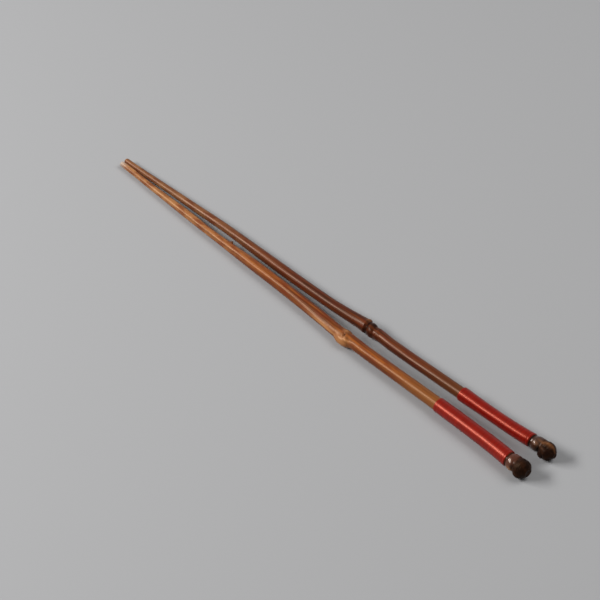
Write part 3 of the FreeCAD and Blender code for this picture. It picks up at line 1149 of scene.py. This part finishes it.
@dataclass
class Studio:
    """The light grey floor, the soft lamps, the surroundings and the camera at the photograph's angle."""

    floor_side: float = 6.0
    ground: Color = (0.42, 0.42, 0.425, 1.0)
    floor_roughness: float = 0.9
    floor_specular: float = 0.1
    daylight: Color = (1.0, 1.0, 1.0, 1.0)
    daylight_strength: float = 0.12
    lamps: tuple[Lamp, ...] = (
        Lamp("window_light", (-0.69, -0.80, 0.72), (0.9, 0.26), 17.0),
        Lamp("top_light", (0.45, 0.80, 1.30), (1.1, 1.1), 12.0, mirrored=False),
    )
    eye: Triple = (0.51287, -0.50846, 0.60594)
    looks_at: Triple = (-0.00772, -0.00218, 0.0)
    roll: float = math.radians(3.11)
    lens: float = 138.8
    clip: tuple[float, float] = (0.01, 50.0)

    def floor(self) -> None:
        """A plain floor under the pair."""
        half = self.floor_side / 2.0
        corners = [(-half, -half, 0.0), (half, -half, 0.0), (half, half, 0.0), (-half, half, 0.0)]
        mesh = bpy.data.meshes.new("floor")
        mesh.from_pydata(corners, [], [(0, 1, 2, 3)])
        material = bpy.data.materials.new("grey_floor")
        material.use_nodes = True
        surface = material.node_tree.nodes["Principled BSDF"]
        surface.inputs["Base Color"].default_value = self.ground
        surface.inputs["Roughness"].default_value = self.floor_roughness
        surface.inputs["Specular IOR Level"].default_value = self.floor_specular
        mesh.materials.append(material)
        floor = bpy.data.objects.new("floor", mesh)
        bpy.context.scene.collection.objects.link(floor)

    def surroundings(self) -> None:
        """Even light from all round, and the floor's grey where the surroundings are seen or mirrored."""
        world = bpy.data.worlds.new("studio")
        world.use_nodes = True
        wiring = Wiring(world.node_tree)
        path = wiring.add("LightPath").outputs
        seen = wiring.math("MAXIMUM", path["Is Camera Ray"], path["Is Glossy Ray"])
        seen = wiring.math("MAXIMUM", seen, path["Is Transmission Ray"])
        light = wiring.add("Background", {"Color": self.daylight, "Strength": self.daylight_strength})
        shown = wiring.add("Background", {"Color": self.ground, "Strength": 1.0})
        both = wiring.add("MixShader", {0: seen, 1: light.outputs[0], 2: shown.outputs[0]})
        wiring.add("OutputWorld", {"Surface": both.outputs[0]})
        bpy.context.scene.world = world

    def camera(self) -> None:
        """The camera, aimed at the pair's middle and rolled a little, as the photograph is.

        Its right is the level direction times the cosine of the roll plus the upright one times the sine, and
        its up is the upright direction times the cosine less the level one times the sine.
        """
        data = bpy.data.cameras.new("camera")
        data.lens = self.lens
        data.clip_start, data.clip_end = self.clip
        camera = bpy.data.objects.new("camera", data)
        ahead = (Vector(self.looks_at) - Vector(self.eye)).normalized()
        level = ahead.cross(Vector((0.0, 0.0, 1.0))).normalized()
        upright = level.cross(ahead)
        right = level * math.cos(self.roll) + upright * math.sin(self.roll)
        up = upright * math.cos(self.roll) - level * math.sin(self.roll)
        turn = Matrix((right, up, -ahead)).transposed().to_4x4()
        camera.matrix_world = Matrix.Translation(self.eye) @ turn
        bpy.context.scene.collection.objects.link(camera)
        bpy.context.scene.camera = camera

    def build(self) -> None:
        """Set up everything that isn't part of the object."""
        self.floor()
        for lamp in self.lamps:
            lamp.build()
        self.surroundings()
        self.camera()
        bpy.context.scene.view_settings.view_transform = "Standard"
        LOG.info("studio: %d lamps", len(self.lamps))


TAN_BAMBOO = BambooFinish(
    name="bamboo_tan",
    light=paint(154, 84, 34),
    dark=paint(100, 48, 18),
    young=paint(180, 127, 80),
    stain=paint(112, 44, 20),
    stain_share=0.70,
    ochre=paint(142, 88, 42),
    bare=paint(196, 184, 170),
    root=paint(80, 38, 22),
    bark_dark=paint(29, 14, 8),
    bark_light=paint(50, 28, 17),
    # Paler wood and painted highlights.
    pale_and_highlight=paint(184, 128, 80),
    # Grime and painted shade.
    dirt_and_shade=paint(22, 11, 7),
    shine=(1.0, 0.66, 0.40, 1.0),
)
BROWN_BAMBOO = BambooFinish(
    name="bamboo_brown",
    light=paint(108, 52, 23),
    dark=paint(68, 31, 14),
    young=paint(144, 98, 62),
    stain=paint(92, 34, 18),
    stain_share=0.60,
    ochre=paint(100, 57, 27),
    bare=paint(170, 150, 130),
    root=paint(56, 31, 20),
    bark_dark=paint(32, 16, 10),
    bark_light=paint(56, 32, 19),
    # Paler wood and painted highlights.
    pale_and_highlight=paint(150, 98, 60),
    # Grime and painted shade.
    dirt_and_shade=paint(20, 12, 9),
    shine=(1.0, 0.67, 0.49, 1.0),
)
RED_THREAD = ThreadFinish(
    name="red_thread",
    crest=paint(138, 17, 7),
    # Painted shade for the grooves between turns.
    groove=paint(78, 5, 3),
    worn=paint(160, 36, 14),
    shine=(1.0, 0.25, 0.15, 1.0),
)


# The layers of each winding, from its start and from its end at the knob. The front one is almost even and the
# back one is thick at its start. Both have a low last turn before a bead at the knob.
FRONT_LAYERS = (
    [Layer(0.0, 0.10), Layer(0.22, 0.31), Layer(0.60, 0.345), Layer(1.4, 0.32), Layer(20.0, 0.32)],
    [Layer(1.3, 0.32), Layer(1.05, 0.26), Layer(0.8, 0.35), Layer(0.35, 0.37), Layer(0.0, 0.12)],
)
BACK_LAYERS = (
    [Layer(0.0, 0.12), Layer(0.22, 0.53), Layer(0.60, 0.585), Layer(1.5, 0.55), Layer(18.2, 0.30)],
    [Layer(1.4, 0.30), Layer(1.15, 0.22), Layer(0.9, 0.34), Layer(0.35, 0.35), Layer(0.0, 0.12)],
)


def front_stick() -> Stick:
    """The stick nearer the camera: tan, with a budded node and a drum-shaped knob.

    Returns:
        The stick.
    """
    node_start, knob_start = 143.80, 240.70
    return Stick(
        side="front",
        slot="bamboo_tan",
        tip_length=0.85,
        lower=[
            Station(0.0, -1.50, 2.20),
            Station(23.1, -2.41, 2.50),
            Station(26.0, -3.20, 3.42),
            Station(11.0, -3.66, 3.24),
            Station(31.0, -4.02, 4.62),
            Station(29.25, -4.92, 4.86),
            Station(16.0, -5.66, 4.98),
            Station(6.6, -6.22, 5.06),
        ],
        upper=[
            Station(0.0, -6.22, 5.02),
            Station(7.0, -6.38, 4.94),
            Station(40.6, -6.18, 5.36),
            Station(20.0, -6.35, 5.52),
            Station(19.1, -7.20, 5.80),
            Station(0.6, -7.30, 5.70),
        ],
        node=[Turn(4.30, 2.64), Turn(0.55, 2.82), Turn(0.35, 2.68), Turn(2.70, 2.58, True), Turn(1.70, 2.55)],
        knob=[Turn(3.30, 2.95, True), Turn(5.50, 2.40, True), Turn(0.50, 1.70)],
        lumps=[
            Lump(node_start + 4.9, 1.45, 0.50, 2.25, 4.6, 0.45),
            Lump(knob_start + 6.0, 1.68, 1.06, 2.28, 2.5),
            Lump(knob_start + 2.9, -0.54, -0.56, 2.72, 2.6),
        ],
        twig=Spot(74.0, 20.0, 0.75, 0.85, 0.95),
        swells=[
            Spot(node_start - 9.0, 184.0, 9.0, 0.38, 0.40),
            Spot(node_start - 9.0, 120.0, 9.0, 0.52, -0.27),
            Spot(node_start + 7.4, 152.0, 1.1, 0.16, 0.20),
            Spot(knob_start + 2.6, 158.0, 0.50, 0.20, 0.14),
        ],
        # Pits, each darkened with grime and painted shade.
        pits=[
            Spot(node_start + 5.35, 118.0, 0.28, 0.50, 0.30),
            Spot(node_start + 4.5, 112.0, 0.60, 0.24, 0.14),
            Spot(knob_start + 3.3, 205.0, 0.34, 2.30, 0.24),
        ],
        # Paler wood and painted highlights: a highlight over the bud and one curling at its end, a highlight line
        # along the ridge before the node, a paler bump on top of the node, and the collar's rim, lighter wood with
        # a painted highlight.
        pale_and_highlight_spots=[
            Spot(node_start + 4.9, 185.0, 2.8, 0.75, 0.70),
            Spot(node_start + 4.4, 75.0, 1.2, 0.35, 0.55),
            Spot(node_start + 7.4, 152.0, 1.3, 0.15, 0.90),
            Spot(node_start - 5.0, 172.0, 7.5, 0.14, 0.95),
            Spot(knob_start + 2.3, 208.0, 1.1, 0.28, 0.95),
        ],
        # Painted shade in the small pit of the node's leaf scar.
        dirt_and_shade_spots=[Spot(node_start + 5.2, 116.0, 0.35, 0.22, 0.7)],
        node_slant=1.9,
        node_slant_angle=math.radians(50.0),
        collar_length=3.3,
        ochre_start=182.0,
        bare_tip=0.85,
        seed=11,
    )


def back_stick() -> Stick:
    """The second stick: darker, with a grooved node and a long knob with a claw-like root stub.

    Returns:
        The stick.
    """
    node_start, knob_start = 148.00, 239.10
    return Stick(
        side="back",
        slot="bamboo_brown",
        tip_length=0.80,
        lower=[
            Station(0.0, 1.05, 2.25),
            Station(21.2, 1.68, 2.62),
            Station(26.0, 2.55, 3.38),
            Station(20.0, 3.18, 3.75),
            Station(32.0, 3.05, 4.42),
            Station(28.4, 3.50, 4.50),
            Station(11.0, 4.25, 4.90),
            Station(8.6, 4.95, 5.45),
        ],
        upper=[
            Station(0.0, 4.95, 4.72),
            Station(6.0, 4.65, 4.70),
            Station(38.7, 5.55, 4.78),
            Station(18.1, 5.95, 4.84),
            Station(18.1, 7.20, 5.15),
            Station(0.6, 7.35, 5.10),
        ],
        node=[
            Turn(1.20, 2.94),
            Turn(0.50, 2.44),
            Turn(1.30, 2.58),
            Turn(3.10, 2.46, True),
            Turn(1.30, 2.42),
            Turn(0.45, 2.56),
            Turn(1.75, 2.36),
        ],
        knob=[Turn(0.60, 2.60), Turn(3.30, 2.46, True), Turn(0.50, 2.40), Turn(5.80, 1.90, True), Turn(0.70, 1.00)],
        lumps=[
            Lump(node_start + 0.9, -1.30, -0.8, 1.60, 1.5),
            Lump(node_start + 0.2, 0.0, 0.0, 2.70, 4.5, 0.25),
            Lump(knob_start + 6.1, 1.90, 1.05, 1.85, 1.85),
            Lump(knob_start + 8.4, 1.45, 1.42, 1.45, 1.7),
            Lump(knob_start + 4.3, -0.78, -0.72, 2.15, 3.6, 0.5),
        ],
        twig=None,
        swells=[],
        # Pits and grooves, each darkened with grime and painted shade.
        pits=[
            Spot(node_start + 2.5, 150.0, 0.50, 2.90, 0.24),
            Spot(knob_start + 4.1, 185.0, 0.38, 2.40, 0.30),
            Spot(knob_start + 7.3, 195.0, 0.26, 1.10, 0.40),
            Spot(knob_start + 7.6, 121.0, 2.10, 0.42, 0.42),
            Spot(node_start + 4.7, 60.0, 1.50, 2.20, 0.26),
        ],
        # A paler bump on the node, and painted light: a highlight along the collar and the lit top of the knob's
        # ball.
        pale_and_highlight_spots=[
            Spot(node_start + 1.0, 60.0, 0.6, 0.28, 0.7),
            Spot(knob_start + 3.0, 133.0, 1.5, 0.20, 0.38),
            Spot(knob_start + 4.4, 98.0, 1.4, 0.17, 0.50),
            Spot(knob_start + 6.8, 88.0, 1.6, 0.17, 0.60),
            Spot(knob_start + 9.0, 80.0, 1.3, 0.16, 0.50),
        ],
        # Painted shade in the node's groove, and a darker bulge behind it.
        dirt_and_shade_spots=[
            Spot(node_start + 2.65, 150.0, 0.62, 9.0, 1.0),
            Spot(node_start + 4.6, 120.0, 1.5, 1.5, 0.55),
        ],
        node_slant=0.6,
        node_slant_angle=math.radians(20.0),
        collar_length=4.1,
        ochre_start=190.0,
        bare_tip=0.0,
        seed=23,
    )


def main() -> None:
    """Build the sticks, their windings and the studio."""
    logging.basicConfig(level=logging.INFO, format="%(name)s: %(message)s")
    grain, gloss = bamboo_grain_group(), handled_gloss_group()
    tan, brown = TAN_BAMBOO.material(grain, gloss), BROWN_BAMBOO.material(grain, gloss)
    red = RED_THREAD.material(gloss)
    for stick, layers, wood in ((front_stick(), FRONT_LAYERS, tan), (back_stick(), BACK_LAYERS, brown)):
        stick.build().data.materials.append(wood)
        Winding(stick, *layers).build().data.materials.append(red)
    Studio().build()


if __name__ == "__main__":
    main()
